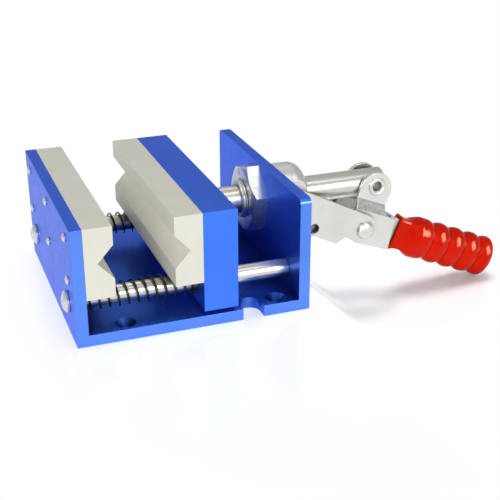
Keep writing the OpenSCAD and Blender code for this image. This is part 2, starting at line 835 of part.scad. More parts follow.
// Ring of the grip's section at a distance from its mouth
function grip_ring(s) =
    let(w = grip_half(s, sleeve_half_w, swell_half_w),
        h = grip_half(s, sleeve_half_h, swell_half_h) + lip_at(s), e = 2 / grip_power(s))
        [for (k = [0:grip_sides - 1])
            let(a = 360 * k / grip_sides, c = cos(a), d = sin(a))
                [s, w * sign(c) * pow(abs(c), e), h * sign(d) * pow(abs(d), e)]];

lip_stations = [for (i = [0:lip_steps]) lip_len * i / lip_steps];
rise_stations = [for (i = [0:rise_steps - 1])
    grip_sleeve + (first_crest - grip_sleeve) * i / rise_steps];
swell_stations = [for (i = [0:(swell_count - 1) * swell_steps - 1])
    first_crest + i * swell_pitch / swell_steps];
tip_stations = [for (i = [0:tip_steps]) last_crest + tip_len * sin(85 * i / tip_steps)];
grip_stations = concat(lip_stations, rise_stations, swell_stations, tip_stations);

module handle_grip() color("red")
    in_handle()
        difference() {
            translate([grip_start, 0, grip_mid])
                polyhedron([for (s = grip_stations, p = grip_ring(s)) p],
                    tube_faces(len(grip_stations), grip_sides));
            slab(-plate_t - seat_gap, plate_t + seat_gap)
                polygon(concat(tang_edge(seat_gap), [for (s = [1, -1])
                    [grip_start - bite, grip_mid + s * (tang_h + seat_gap)]]));
        }

// Link: x along the link from the trunnion to the link pin
module in_link() {
    translate([pivot_a.x, 0, pivot_a.y])
        rotate([0, -link_angle, 0])
            children();
}

// Flat blank of the link: hub, arm and round end, with a wing below
module link_blank() {
    end_x = link_len - link_end_in;
    wing_centre = [wing_x, wing_corner_r - wing_drop];
    wing_corner = [for (p = arc(wing_corner_r, 270, 215, 4)) wing_centre + p];
    arm = [[0, link_hub_r], [end_x, link_end_r], [end_x, -link_end_r],
        [link_len - wing_notch, -wing_notch_v], [link_len - wing_back, -wing_drop]];
    along_y(0, link_in, 0)
        cylinder(r = link_hub_r, h = link_t);
    along_y(end_x, link_in, 0)
        cylinder(r = link_end_r, h = link_t);
    slab(link_in, link_out)
        polygon(concat(arm, wing_corner, [[-link_hub_r, 0]]));
}

module link_plate()
    in_link()
        difference() {
            link_blank();
            along_y(0, 0, 0)
                cylinder(d = trunnion_d + 2 * run_gap, h = link_out + bite);
            along_y(link_len, 0, 0)
                cylinder(d = link_rivet_d + 2 * seat_gap, h = link_out + bite);
            along_y(wing_hole_x, 0, wing_hole_d / 2 + wing_hole_lift - wing_drop)
                cylinder(d = wing_hole_d, h = link_out + bite);
        }

module link_front() color("lightgray")
    mirror([0, 1, 0])
        link_plate();

module link_rear() color("lightgray")
    link_plate();

// Short domed rivets at the link pin, each in its own link plate
module link_rivets() color("silver")
    both_sides()
        in_link() {
            along_y(link_len, link_in, 0)
                cylinder(d = link_rivet_d, h = link_t + bite);
            along_y(link_len, link_out, 0)
                domed_head(link_head_d, link_head_h, link_head_h * dome_rim);
        }

base_channel();
fixed_jaw();
fixed_jaw_screws();
guide_rod_front();
guide_rod_rear();
rod_screws_left();
rod_screws_right();
return_spring_front();
return_spring_rear();
clamp_barrel();
mounting_nut();
trunnion_pins();
slide_block();
moving_jaw();
moving_jaw_screws();
guide_bush_front();
guide_bush_rear();
plunger();
plunger_stud();
jam_nut();
handle_frame();
handle_grip();
ear_rivet();
link_front();
link_rear();
link_rivets();
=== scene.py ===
import json
import math
from contextlib import contextmanager

import bmesh
import bpy
from mathutils import Matrix, Vector

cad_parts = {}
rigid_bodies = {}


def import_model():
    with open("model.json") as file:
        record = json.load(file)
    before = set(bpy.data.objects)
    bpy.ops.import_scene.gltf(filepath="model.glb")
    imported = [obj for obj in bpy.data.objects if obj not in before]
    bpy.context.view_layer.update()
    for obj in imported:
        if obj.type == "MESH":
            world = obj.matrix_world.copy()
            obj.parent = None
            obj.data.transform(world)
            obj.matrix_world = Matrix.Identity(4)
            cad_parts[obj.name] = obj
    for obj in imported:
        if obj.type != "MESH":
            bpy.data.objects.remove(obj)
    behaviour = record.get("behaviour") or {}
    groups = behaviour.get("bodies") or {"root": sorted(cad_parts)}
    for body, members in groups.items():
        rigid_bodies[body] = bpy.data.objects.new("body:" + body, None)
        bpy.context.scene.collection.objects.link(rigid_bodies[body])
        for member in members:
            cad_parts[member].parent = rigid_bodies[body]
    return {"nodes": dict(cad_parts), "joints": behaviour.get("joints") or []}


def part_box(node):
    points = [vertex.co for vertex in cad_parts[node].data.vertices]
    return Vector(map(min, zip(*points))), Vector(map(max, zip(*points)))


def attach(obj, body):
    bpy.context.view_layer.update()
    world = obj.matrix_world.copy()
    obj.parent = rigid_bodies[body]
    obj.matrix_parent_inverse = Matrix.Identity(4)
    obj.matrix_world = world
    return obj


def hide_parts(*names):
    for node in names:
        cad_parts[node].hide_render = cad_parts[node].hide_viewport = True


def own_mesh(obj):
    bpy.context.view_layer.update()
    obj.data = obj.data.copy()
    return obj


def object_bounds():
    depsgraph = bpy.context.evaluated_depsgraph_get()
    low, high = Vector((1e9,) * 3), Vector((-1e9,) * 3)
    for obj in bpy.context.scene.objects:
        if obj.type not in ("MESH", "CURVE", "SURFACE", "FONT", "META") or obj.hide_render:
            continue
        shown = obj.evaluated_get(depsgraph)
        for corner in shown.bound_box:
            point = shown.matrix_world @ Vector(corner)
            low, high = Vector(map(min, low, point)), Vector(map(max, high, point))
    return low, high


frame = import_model()
cad_low, cad_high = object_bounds()
nodes = frame["nodes"]
joints = {joint["name"]: joint for joint in frame["joints"]}
scene = bpy.context.scene
MM = 0.001


def middle(node):
    """The middle of a solid's box."""
    low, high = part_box(node)
    return (low + high) / 2


# Places and sizes of the solids, in metres, and the handle's slope
WALL_LEFT_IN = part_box("guide_rod_front")[0].x
WALL_LEFT_OUT, WALL_RIGHT_OUT = (corner.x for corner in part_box("base_channel"))
BLOCK_FACE, BLOCK_BACK = (corner.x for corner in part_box("slide_block"))
SHANK_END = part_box("clamp_barrel")[0].x
NUT_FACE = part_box("mounting_nut")[0].x
WALL = WALL_LEFT_IN - WALL_LEFT_OUT
BLOCK = BLOCK_BACK - BLOCK_FACE
ROD_Y, ROD_Z = middle("guide_rod_rear").yz
LINK_PIN = middle("link_rivets")
EAR_PIN = Vector(joints["handle_pivot"]["pos_m"])
AXIS_Z = EAR_PIN.z
HANDLE_TURN = math.radians(22.5)


# Node trees


class Wiring:
    """A node tree with short calls for its nodes."""

    def __init__(self, tree):
        self.tree = tree

    def put(self, socket, value):
        """Joins a socket to another one, or sets its value."""
        if isinstance(value, bpy.types.NodeSocket):
            self.tree.links.new(value, socket)
        else:
            socket.default_value = value

    def add(self, kind, values=None, **settings):
        node = self.tree.nodes.new(kind)
        for key, value in settings.items():
            setattr(node, key, value)
        for key, value in (values or {}).items():
            self.put(node.inputs[key], value)
        return node

    def calc(self, operation, *values):
        """One step of arithmetic on sockets or values."""
        node = self.add("ShaderNodeMath", operation=operation)
        for socket, value in zip(node.inputs, values):
            self.put(socket, value)
        return node.outputs[0]

    def parts(self, vector):
        """A vector's x, y and z."""
        return self.add("ShaderNodeSeparateXYZ", {0: vector}).outputs

    def ramp(self, factor, *stops):
        """Colours along a factor, from pairs of position and colour."""
        node = self.add("ShaderNodeValToRGB", {"Fac": factor})
        ramp = node.color_ramp
        while len(ramp.elements) < len(stops):
            ramp.elements.new(0.5)
        for element, (position, colour) in zip(ramp.elements, stops):
            element.position = position
            element.color = (*colour, 1)
        return node.outputs["Color"]


# Materials


class Shades(Wiring):
    """The node tree of one material."""

    def __init__(self, name):
        self.material = bpy.data.materials.new(name)
        self.material.use_nodes = True
        super().__init__(self.material.node_tree)
        self.shader = self.tree.nodes["Principled BSDF"]
        coordinates = self.add("ShaderNodeTexCoord").outputs
        self.place = coordinates["Object"]
        self.facing = coordinates["Normal"]

    def set(self, **values):
        for key, value in values.items():
            self.put(self.shader.inputs[key.replace("_", " ")], value)

    def grain(self, scale, detail, stretch=(1, 1, 1)):
        """Noise over the piece, drawn out along an axis where stretch says so."""
        spread = self.add("ShaderNodeMapping", {"Vector": self.place, "Scale": stretch})
        noise = self.add(
            "ShaderNodeTexNoise",
            {
                "Vector": spread.outputs["Vector"],
                "Scale": scale,
                "Detail": detail,
                "Roughness": 0.55,
            },
        )
        return noise.outputs["Fac"]

    def mottled(self, scale, detail, dark, light, start=0.3, end=0.7):
        """A colour that wanders between two."""
        return self.ramp(self.grain(scale, detail), (start, dark), (end, light))

    def span(self, factor, low, high, start=0.3, end=0.7):
        """A factor's middle stretch turned into a range of values."""
        node = self.add(
            "ShaderNodeMapRange",
            {
                "Value": factor,
                "From Min": start,
                "From Max": end,
                "To Min": low,
                "To Max": high,
            },
        )
        return node.outputs["Result"]

    def scaled(self, colour, level):
        node = self.add(
            "ShaderNodeVectorMath", {0: colour, "Scale": level}, operation="SCALE"
        )
        return node.outputs[0]

    def with_painted_shade(self, colour, reach, least, start, end, alone=False):
        """A colour with painted shade: it darkens in gaps between pieces, or only in the piece's
        own hollows.
        """
        gap = self.add(
            "ShaderNodeAmbientOcclusion", {"Distance": reach}, samples=16, only_local=alone
        )
        return self.scaled(colour, self.span(gap.outputs["AO"], least, 1.0, start, end))

    def bump(self, height, strength, distance):
        node = self.add(
            "ShaderNodeBump",
            {"Height": height, "Strength": strength, "Distance": distance},
        )
        self.put(self.shader.inputs["Normal"], node.outputs["Normal"])


def blue_anodising(name, ends):
    """Satin dyed aluminium. Faces towards the front and rear are painted paler as painted light,
    and the piece's own hollows get painted shade.
    """
    m = Shades(name)
    dye = m.mottled(26, 2, (0.045, 0.165, 0.84), (0.06, 0.2, 0.92))
    # Painted light: the ends colour is added to the faces towards the front and rear
    painted_light_mask = m.span(m.calc("ABSOLUTE", m.parts(m.facing)["Y"]), 0, 1, 0.8, 0.95)
    dye_with_painted_light = m.add(
        "ShaderNodeVectorMath", {0: dye, 1: m.scaled(ends, painted_light_mask)}, operation="ADD"
    )
    m.set(
        # Painted shade in the piece's own hollows
        Base_Color=m.with_painted_shade(
            dye_with_painted_light.outputs[0], reach=60 * MM, least=0.3, start=0.5, end=0.95, alone=True
        ),
        Metallic=0.85,
        Specular_Tint=(0.62, 0.66, 1, 1),
        Roughness=m.span(m.grain(240, 4), 0.27, 0.35),
        Specular_IOR_Level=0.35,
    )
    return m.material


def jaw_plastic():
    """Pale acetal with a fine milled grain along the jaws."""
    m = Shades("jaw_plastic")
    m.set(
        Base_Color=m.mottled(60, 3, (0.69, 0.68, 0.58), (0.74, 0.73, 0.64)),
        Roughness=m.span(m.grain(420, 3), 0.42, 0.55),
        Specular_IOR_Level=0.4,
    )
    m.bump(m.grain(900, 2, (1, 0.04, 1)), strength=0.07, distance=0.1 * MM)
    return m.material


def satin_steel():
    """Pressed plate with a satin plating: soft cloud and fine tumble marks, with painted shade in
    the gaps between pieces.
    """
    m = Shades("satin_steel")
    cloud = m.mottled(55, 3, (0.74, 0.745, 0.7), (0.81, 0.815, 0.775))
    m.set(
        # Painted shade where other pieces come close
        Base_Color=m.with_painted_shade(cloud, reach=10 * MM, least=0.2, start=0.3, end=0.8),
        Metallic=0.92,
        Roughness=m.span(m.grain(300, 5), 0.3, 0.44),
    )
    m.bump(m.grain(1500, 3), strength=0.12, distance=0.1 * MM)
    return m.material


def ground_steel():
    """Bright ground bar: fine rings round the bar's length, with painted shade where other pieces
    come close.
    """
    m = Shades("ground_steel")
    cloud = m.mottled(40, 2, (0.67, 0.655, 0.595), (0.74, 0.725, 0.665))
    rings = m.grain(900, 2, (1, 0.02, 0.02))
    m.set(
        # Painted shade where other pieces come close
        Base_Color=m.with_painted_shade(cloud, reach=9 * MM, least=0.5, start=0.4, end=0.85),
        Metallic=1.0,
        Roughness=m.span(rings, 0.28, 0.32),
    )
    return m.material


def turned_steel():
    """Bright turned nuts, rivets and screw heads."""
    m = Shades("turned_steel")
    m.set(
        Base_Color=m.mottled(90, 3, (0.72, 0.71, 0.67), (0.83, 0.82, 0.78)),
        Metallic=1.0,
        Roughness=m.span(m.grain(500, 4), 0.27, 0.38),
    )
    return m.material


def drawn_steel():
    """Plate where the press has drawn it: duller, with a coarse mottle, and painted far darker
    than the flat plate as painted shade.
    """
    m = Shades("drawn_steel")
    m.set(
        Base_Color=m.mottled(420, 4, (0.3, 0.31, 0.3), (0.5, 0.51, 0.49), end=0.75),
        Metallic=0.9,
        Roughness=m.span(m.grain(300, 3), 0.4, 0.55),
    )
    m.bump(m.grain(700, 3), strength=0.3, distance=0.2 * MM)
    return m.material


def black_wire():
    """Oil-blackened spring wire with brown rubbed patches."""
    m = Shades("black_wire")
    m.set(
        Base_Color=m.mottled(
            130, 3, (0.03, 0.026, 0.02), (0.13, 0.105, 0.07), start=0.35, end=0.75
        ),
        Metallic=0.9,
        Roughness=m.span(m.grain(600, 3), 0.24, 0.36),
    )
    return m.material


def bush_bronze():
    """Sintered bronze with open pores."""
    m = Shades("bush_bronze")
    m.set(
        Base_Color=m.mottled(700, 3, (0.3, 0.19, 0.08), (0.45, 0.3, 0.14)),
        Metallic=0.95,
        Roughness=m.span(m.grain(900, 3), 0.3, 0.5),
    )
    return m.material


def red_vinyl():
    """Dipped vinyl: glossy skin with slow waves."""
    m = Shades("red_vinyl")
    m.set(
        Base_Color=m.mottled(34, 2, (0.57, 0.005, 0.0), (0.67, 0.01, 0.001)),
        Roughness=m.span(m.grain(160, 3), 0.12, 0.17),
        Specular_IOR_Level=0.18,
        Specular_Tint=(1, 0.62, 0.35, 1),
    )
    m.bump(m.grain(120, 2), strength=0.1, distance=0.6 * MM)
    return m.material


# ends: the painted light added to the faces towards the front and rear
BLUE = blue_anodising("blue_block", ends=(0.008, 0.03, 0.08))
BLUE_CHANNEL = blue_anodising("blue_channel", ends=(0.065, 0.1, 0.07))
PLASTIC = jaw_plastic()
SATIN = satin_steel()
GROUND = ground_steel()
TURNED = turned_steel()
SLANT_SHADE = drawn_steel()
WIRE = black_wire()
BRONZE = bush_bronze()
VINYL = red_vinyl()


# Meshes


def new_object(name, data):
    obj = bpy.data.objects.new(name, data)
    scene.collection.objects.link(obj)
    return obj


def plain(obj):
    """The object's modifiers become its mesh."""
    graph = bpy.context.evaluated_depsgraph_get()
    mesh = bpy.data.meshes.new_from_object(obj.evaluated_get(graph))
    obj.modifiers.clear()
    obj.data = mesh
    mesh.name = obj.name
    return obj


def smooth(mesh, angle):
    """Smooth shading, with edges sharper than the angle left crisp."""
    mesh.polygons.foreach_set("use_smooth", [True] * len(mesh.polygons))
    mesh.set_sharp_from_angle(angle=math.radians(angle))
    mesh.update()


@contextmanager
def edited(mesh, source=None):
    """Opens a mesh, or another one's shape, for editing and writes the result into it."""
    bm = bmesh.new()
    bm.from_mesh(source or mesh)
    yield bm
    bm.to_mesh(mesh)
    bm.free()


def tidy_normals(mesh):
    """Joins doubled points and turns the faces outwards."""
    with edited(mesh) as bm:
        bmesh.ops.remove_doubles(bm, verts=bm.verts, dist=1e-7)
        bmesh.ops.recalc_face_normals(bm, faces=bm.faces)


def merged_copy(node, name):
    """A copy of a solid's mesh with its loose triangles joined into flat faces."""
    mesh = bpy.data.meshes.new(name)
    with edited(mesh, nodes[node].data) as bm:
        bmesh.ops.remove_doubles(bm, verts=bm.verts, dist=2e-6)
        bmesh.ops.dissolve_limit(
            bm,
            angle_limit=math.radians(0.4),
            use_dissolve_boundaries=False,
            verts=bm.verts,
            edges=bm.edges,
            delimit=set(),
        )
    mesh.materials.clear()
    return mesh


# How far a plate's broad faces look sideways: where a press has set them at a slant, and elsewhere
SLANTED = (0.9, 0.96)
FLAT = (0.99, 1.01)
BROAD = 50 * MM**2


def broad_faces(mesh, sideways):
    least, most = sideways
    return [f for f in mesh.polygons if f.area > BROAD and least < abs(f.normal.y) < most]


def crisp_folds(mesh):
    """Keeps the bend lines between slanted and flat faces sharp."""
    slanted, flat = (
        {mesh.loops[i].edge_index for f in broad_faces(mesh, sideways) for i in f.loop_indices}
        for sideways in (SLANTED, FLAT)
    )
    for i in slanted & flat:
        mesh.edges[i].use_edge_sharp = True


def eased(obj, width, segments=2, angle=32):
    """Breaks the sharp edges of an object and sets its shading."""
    bevel = obj.modifiers.new("edge", "BEVEL")
    bevel.width = width
    bevel.segments = segments
    bevel.limit_method = "ANGLE"
    bevel.angle_limit = math.radians(angle)
    bevel.miter_outer = "MITER_ARC"
    plain(obj)
    smooth(obj.data, 50)
    crisp_folds(obj.data)
    weighted = obj.modifiers.new("normals", "WEIGHTED_NORMAL")
    weighted.keep_sharp = True
    weighted.weight = 80
    return plain(obj)


def stands_for(obj, body, slot, material, *replaced):
    """Gives a finished piece its finish, its body and the solids that it replaces."""
    if material is not None:
        obj.data.materials.clear()
        obj.data.materials.append(material)
    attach(obj, body)
    if replaced:
        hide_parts(*replaced)
    return obj


def dressed(node, name, body, slot, material, width, segments=2):
    """A solid's own shape with broken edges."""
    obj = new_object(name, merged_copy(node, name))
    eased(obj, width, segments)
    return stands_for(obj, body, slot, material, node)


def arc(r, z, across, up, start, end, steps):
    """Points of an outline on an ellipse about (r, z), from one angle to another."""
    angles = [math.radians(start + (end - start) * k / steps) for k in range(steps + 1)]
    return [(r + across * math.cos(a), z + up * math.sin(a)) for a in angles]


def lathe(name, profile, sides=48):
    """A closed turned piece about +Z from pairs of radius and height."""
    mesh = bpy.data.meshes.new(name)
    turns = [2 * math.pi * k / sides for k in range(sides)]
    with edited(mesh) as bm:
        rings = []
        for r, z in profile:
            around = turns if r > 1e-9 else [0]
            rings.append([bm.verts.new((r * math.cos(a), r * math.sin(a), z)) for a in around])
        for low, high in zip(rings, rings[1:]):
            for k in range(sides):
                n = (k + 1) % sides
                corners = [low[k % len(low)], low[n % len(low)]]
                corners += [high[n % len(high)], high[k % len(high)]]
                unique = list(dict.fromkeys(corners))
                if len(unique) > 2:
                    bm.faces.new(unique)
        bmesh.ops.recalc_face_normals(bm, faces=bm.faces)
    return mesh


# Geometry trees


class Growth(Wiring):
    """A geometry tree with named inputs and a finish."""

    def __init__(self, name, **inputs):
        super().__init__(bpy.data.node_groups.new(name, "GeometryNodeTree"))
        face = self.tree.interface
        for way in ("OUTPUT", "INPUT"):
            face.new_socket("Geometry", in_out=way, socket_type="NodeSocketGeometry")
        self.ids = {}
        for label, kind in {**inputs, "Finish": "Material"}.items():
            socket = face.new_socket(label, in_out="INPUT", socket_type="NodeSocket" + kind)
            self.ids[label] = socket.identifier
        self.source = self.tree.nodes.new("NodeGroupInput").outputs

    def limit(self, value, low, high):
        return self.calc("MAXIMUM", self.calc("MINIMUM", value, high), low)

    def position(self):
        return self.parts(self.add("GeometryNodeInputPosition").outputs[0])

    def vector(self, x, y, z):
        return self.add("ShaderNodeCombineXYZ", {0: x, 1: y, 2: z}).outputs[0]

    def moved(self, geometry, x, y, z):
        node = self.add(
            "GeometryNodeSetPosition",
            {"Geometry": geometry, "Position": self.vector(x, y, z)},
        )
        return node.outputs[0]

    def line(self, count, start, offset):
        """A row of points."""
        node = self.add(
            "GeometryNodeMeshLine",
            {
                "Count": count,
                "Start Location": self.vector(*start),
                "Offset": self.vector(*offset),
            },
            mode="OFFSET",
        )
        return node.outputs[0]

    def finish(self, geometry):
        real = self.add("GeometryNodeRealizeInstances", {0: geometry}).outputs[0]
        done = self.add(
            "GeometryNodeSetMaterial",
            {"Geometry": real, "Material": self.source["Finish"]},
        )
        self.add("NodeGroupOutput", {0: done.outputs[0]})
        return self


def grown(name, growth, material, sizes, mesh=None):
    """Runs a geometry tree and keeps the result as a plain mesh."""
    obj = new_object(name, mesh or bpy.data.meshes.new(name))
    modifier = obj.modifiers.new(name, "NODES")
    modifier.node_group = growth.tree
    modifier[growth.ids["Finish"]] = material
    for label, value in sizes.items():
        modifier[growth.ids[label]] = value
    return plain(obj)


def screw_rows_tree():
    """Rows and columns of the object's own screw, each turned at random about X."""
    g = Growth(
        "screw_rows",
        Columns="Int",
        Rows="Int",
        Column_Spacing="Float",
        Row_Spacing="Float",
        Seed="Int",
    )
    s = g.source
    lines = []
    for count, step, axis in (
        ("Columns", "Column_Spacing", 1),
        ("Rows", "Row_Spacing", 2),
    ):
        length = g.calc("MULTIPLY", g.calc("SUBTRACT", s[count], 1), s[step])
        first, ahead = [0, 0, 0], [0, 0, 0]
        first[axis] = g.calc("MULTIPLY", length, -0.5)
        ahead[axis] = s[step]
        lines.append(g.line(s[count], first, ahead))
    grid = g.add("GeometryNodeInstanceOnPoints", {"Points": lines[1], "Instance": lines[0]})
    spots = g.add("GeometryNodeRealizeInstances", {0: grid.outputs[0]})
    turn = g.add(
        "FunctionNodeRandomValue",
        {"Min": (0, 0, 0), "Max": (6.28, 0, 0), "Seed": s["Seed"]},
        data_type="FLOAT_VECTOR",
    )
    screws = g.add(
        "GeometryNodeInstanceOnPoints",
        {
            "Points": spots.outputs[0],
            "Instance": s["Geometry"],
            "Rotation": turn.outputs[0],
        },
    )
    return g.finish(screws.outputs[0])


def coil_tree():
    """A compression spring along X with one closed turn at each end."""
    g = Growth(
        "coil",
        Wire="Float",
        Radius="Float",
        Turns="Float",
        Length="Float",
        End_Pitch="Float",
    )
    s = g.source
    spiral = g.add(
        "GeometryNodeCurveSpiral",
        {
            "Resolution": 28,
            "Rotations": s["Turns"],
            "Start Radius": s["Radius"],
            "End Radius": s["Radius"],
            "Height": s["Length"],
        },
    )
    x, y, z = g.position()
    turns = g.calc("MULTIPLY", g.calc("DIVIDE", z, s["Length"]), s["Turns"])
    open_turns = g.calc("SUBTRACT", s["Turns"], 2)
    ends = g.calc("MULTIPLY", s["End_Pitch"], 2)
    pitch = g.calc("DIVIDE", g.calc("SUBTRACT", s["Length"], ends), open_turns)
    past_first = g.calc("SUBTRACT", turns, 1)
    past_open = g.calc("SUBTRACT", past_first, open_turns)
    closed_part = g.calc("ADD", g.limit(turns, 0, 1), g.limit(past_open, 0, 1))
    open_part = g.limit(past_first, 0, open_turns)
    along = g.calc(
        "ADD",
        g.calc("MULTIPLY", closed_part, s["End_Pitch"]),
        g.calc("MULTIPLY", open_part, pitch),
    )
    path = g.moved(spiral.outputs[0], along, y, x)
    round_wire = g.add(
        "GeometryNodeCurvePrimitiveCircle",
        {"Resolution": 12, "Radius": g.calc("MULTIPLY", s["Wire"], 0.5)},
        mode="RADIUS",
    )
    tube = g.add(
        "GeometryNodeCurveToMesh",
        {"Curve": path, "Profile Curve": round_wire.outputs[0], "Fill Caps": True},
    )
    return g.finish(tube.outputs[0])


def thread_tree():
    """A screw thread along +X: a ridge that winds round a core and runs out at its ends."""
    rows_a_turn, flat_root, steepness, runout_turns = 12, 0.08, 3.2, 0.6
    g = Growth(
        "thread",
        Crest="Float",
        Depth="Float",
        Pitch="Float",
        Length="Float",
    )
    s = g.source
    core = g.calc("SUBTRACT", s["Crest"], s["Depth"])
    rows = g.calc("MULTIPLY", g.calc("DIVIDE", s["Length"], s["Pitch"]), rows_a_turn)
    tube = g.add(
        "GeometryNodeMeshCylinder",
        {
            "Vertices": 72,
            "Side Segments": rows,
            "Radius": 1.0,
            "Depth": s["Length"],
        },
    )
    x, y, z = g.position()
    around = g.calc("DIVIDE", g.calc("ARCTAN2", y, x), 2 * math.pi)
    wound = g.calc("SUBTRACT", g.calc("DIVIDE", z, s["Pitch"]), around)
    wave = g.calc("PINGPONG", wound, 0.5)
    flank = g.calc("MULTIPLY", g.calc("SUBTRACT", wave, flat_root), steepness)
    ridge = g.limit(flank, 0, 1)
    inset = g.calc("SUBTRACT", g.calc("MULTIPLY", s["Length"], 0.5), g.calc("ABSOLUTE", z))
    runout_length = g.calc("MULTIPLY", s["Pitch"], runout_turns)
    runout = g.limit(g.calc("DIVIDE", inset, runout_length), 0, 1)
    lift = g.calc("MULTIPLY", g.calc("MULTIPLY", ridge, runout), s["Depth"])
    radius = g.calc("ADD", core, lift)
    wall = g.moved(
        tube.outputs[0],
        z,
        g.calc("MULTIPLY", x, radius),
        g.calc("MULTIPLY", y, radius),
    )
    return g.finish(wall)


def pair_tree():
    """The object's own mesh at the front and the rear, each facing outwards."""
    g = Growth("pair", Spread="Float")
    spread = g.source["Spread"]
    ends = g.line(2, (0, spread, 0), (0, g.calc("MULTIPLY", spread, -2), 0))
    order = g.add("GeometryNodeInputIndex").outputs[0]
    both = g.add(
        "GeometryNodeInstanceOnPoints",
        {
            "Points": ends,
            "Instance": g.source["Geometry"],
            "Rotation": g.vector(g.calc("MULTIPLY", order, math.pi), 0, 0),
        },
    )
    return g.finish(both.outputs[0])


SCREW_ROWS = screw_rows_tree()
PAIR = pair_tree()
COIL = coil_tree()
THREAD = thread_tree()


# Channel, jaws and block

dressed("base_channel", "channel", "frame", "blue_anodised", BLUE_CHANNEL, 0.45 * MM)
dressed("slide_block", "sliding_block", "carriage", "blue_anodised", BLUE, 0.45 * MM)
dressed("fixed_jaw", "jaw_on_wall", "frame", "jaw_plastic", PLASTIC, 0.35 * MM)
dressed("moving_jaw", "jaw_on_block", "carriage", "jaw_plastic", PLASTIC, 0.35 * MM)


# Rods and bushes

for side in ("front", "rear"):
    dressed(f"guide_rod_{side}", f"rod_{side}", "frame", "ground_steel", GROUND, 0.3 * MM)
    dressed(f"guide_bush_{side}", f"bush_{side}", "carriage", "bush_bronze", BRONZE, 0.2 * MM)


# Screws


def recess_bars(head_d, head_h):
    """Two crossed bars, narrower at the foot, to cut a screw's recess with."""
    reach, wide, depth = 0.3 * head_d, 0.075 * head_d, 0.55 * head_h
    foot = (0.35 * reach, 0.55 * wide, head_h - depth)
    top = (1.35 * reach, 1.3 * wide, head_h + depth)
    signs = ((-1, -1), (1, -1), (1, 1), (-1, 1))
    mesh = bpy.data.meshes.new("recess")
    with edited(mesh) as bm:
        for turn in (0, math.pi / 2):
            spin = Matrix.Rotation(turn, 3, "Z")
            low, high = (
                [bm.verts.new(spin @ Vector((sx * x, sy * y, z))) for sx, sy in signs]
                for x, y, z in (foot, top)
            )
            bm.faces.new(low[::-1])
            bm.faces.new(high)
            for k in range(4):
                n = (k + 1) % 4
                bm.faces.new((low[k], low[n], high[n], high[k]))
        bmesh.ops.recalc_face_normals(bm, faces=bm.faces)
    return new_object("recess", mesh)


def cross_recess_screw(name, shank_d, head_d, head_h, length):
    """A pan head screw along -Z, its head's seat on the plane z = 0."""
    head_r, shank_r = head_d / 2, shank_d / 2
    rim, chamfer, tip = 0.35 * head_h, 0.08 * head_h, 0.2 * shank_d
    crown = head_h - rim
    dome_r = (head_r * head_r + crown * crown) / (2 * crown)
    rim_angle = 90 - math.degrees(math.asin(head_r / dome_r))
    dome = arc(0, head_h - dome_r, dome_r, dome_r, 90, rim_angle, 8)
    profile = dome + [
        (head_r, chamfer),
        (head_r - chamfer, 0),
        (shank_r, 0),
        (shank_r, -length + tip),
        (shank_r - tip, -length),
        (0, -length),
    ]
    head = new_object(name, lathe(name, profile))
    bars = recess_bars(head_d, head_h)
    cut = head.modifiers.new("recess", "BOOLEAN")
    cut.object = bars
    cut.operation = "DIFFERENCE"
    cut.solver = "EXACT"
    cut.use_self = True
    mesh = plain(head).data
    for spent in (bars, head):
        bpy.data.objects.remove(spent)
    tidy_normals(mesh)
    smooth(mesh, 40)
    return mesh


def screws(name, body, replaced, size, seat, facing, grid, seed):
    """A group of screws on a wall: its seat point, the way the heads face and its grid."""
    mesh = cross_recess_screw(name + "_one", *size)
    mesh.transform(Matrix.Rotation(math.radians(90 * facing), 4, "Y"))
    columns, column_step, rows, row_step = grid
    obj = grown(
        name,
        SCREW_ROWS,
        TURNED,
        {
            "Columns": columns,
            "Rows": rows,
            "Column_Spacing": column_step,
            "Row_Spacing": row_step,
            "Seed": seed,
        },
        mesh,
    )
    obj.data.transform(Matrix.Translation(seat))
    smooth(obj.data, 40)
    return stands_for(obj, body, "plated_steel", None, replaced)


# Shank and head of each screw, and how far it goes into what it holds
JAW_SCREW = (3 * MM, 4.6 * MM, 1.6 * MM)
JAW_BITE = 9 * MM
ROD_SCREW = (5 * MM, 11.4 * MM, 3.6 * MM)
ROD_BITE = 12 * MM

JAW_ROWS_Z = middle("fixed_jaw_screws").z
JAW_RISE = 22.6 * MM
JAW_STEP = 50.8 * MM
screws(
    "wall_jaw_screws",
    "frame",
    "fixed_jaw_screws",
    size=(*JAW_SCREW, WALL + JAW_BITE),
    seat=(WALL_LEFT_OUT, 0, JAW_ROWS_Z),
    facing=-1,
    grid=(3, JAW_STEP, 2, JAW_RISE),
    seed=4,
)
screws(
    "block_jaw_screws",
    "carriage",
    "moving_jaw_screws",
    size=(*JAW_SCREW, BLOCK + JAW_BITE),
    seat=(BLOCK_BACK, 0, JAW_ROWS_Z),
    facing=1,
    grid=(2, 2 * JAW_STEP, 2, JAW_RISE),
    seed=7,
)
for side, wall_face, facing, seed in (
    ("left", WALL_LEFT_OUT, -1, 3),
    ("right", WALL_RIGHT_OUT, 1, 9),
):
    screws(
        f"rod_end_screws_{side}",
        "frame",
        f"rod_screws_{side}",
        size=(*ROD_SCREW, WALL + ROD_BITE),
        seat=(wall_face, 0, ROD_Z),
        facing=facing,
        grid=(2, 2 * ROD_Y, 1, 0.0),
        seed=seed,
    )


# Return springs

SPRING_WIRE = 0.95 * MM
for side, y in (("front", -ROD_Y), ("rear", ROD_Y)):
    low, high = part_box(f"return_spring_{side}")
    spring = grown(
        f"spring_{side}",
        COIL,
        WIRE,
        {
            "Wire": SPRING_WIRE,
            "Radius": 6.0 * MM,
            "Turns": 13.0,
            "Length": high.x - low.x - SPRING_WIRE,
            "End_Pitch": 1.7 * MM,
        },
    )
    spring.data.transform(Matrix.Translation((low.x + SPRING_WIRE / 2, y, ROD_Z)))
    tidy_normals(spring.data)
    smooth(spring.data, 60)
    stands_for(spring, "frame", "spring_steel", None, f"return_spring_{side}")
    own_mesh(spring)


# Toggle unit: barrel, nut, plunger, stud and jam nut


